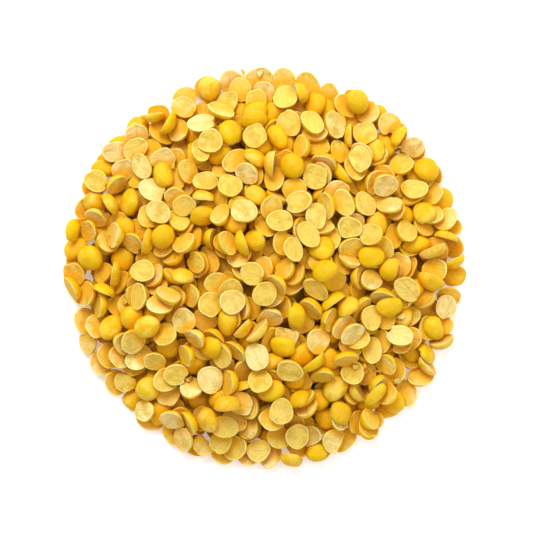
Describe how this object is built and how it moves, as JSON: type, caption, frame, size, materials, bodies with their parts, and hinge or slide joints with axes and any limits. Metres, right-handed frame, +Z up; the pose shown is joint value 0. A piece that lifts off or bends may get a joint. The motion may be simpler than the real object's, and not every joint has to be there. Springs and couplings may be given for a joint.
{
  "type": "heap of split pigeon peas",
  "caption": "Low round heap of split, skinned pigeon peas, poured on a flat surface: pale split faces and golden round backs.",
  "frame": {"origin": "centre of the heap's outline, on the flat surface that it lies on", "axes": "+Z up; +Y towards the back and +X to the right for someone who looks down on the heap"},
  "size_m": [0.0944, 0.094, 0.0184],
  "materials": {
    "split_pea_heap": "dry, faintly waxy"
  },
  "bodies": {
    "root": {"split_pea_heap": "split_pea_heap"}
  },
  "joints": []
}
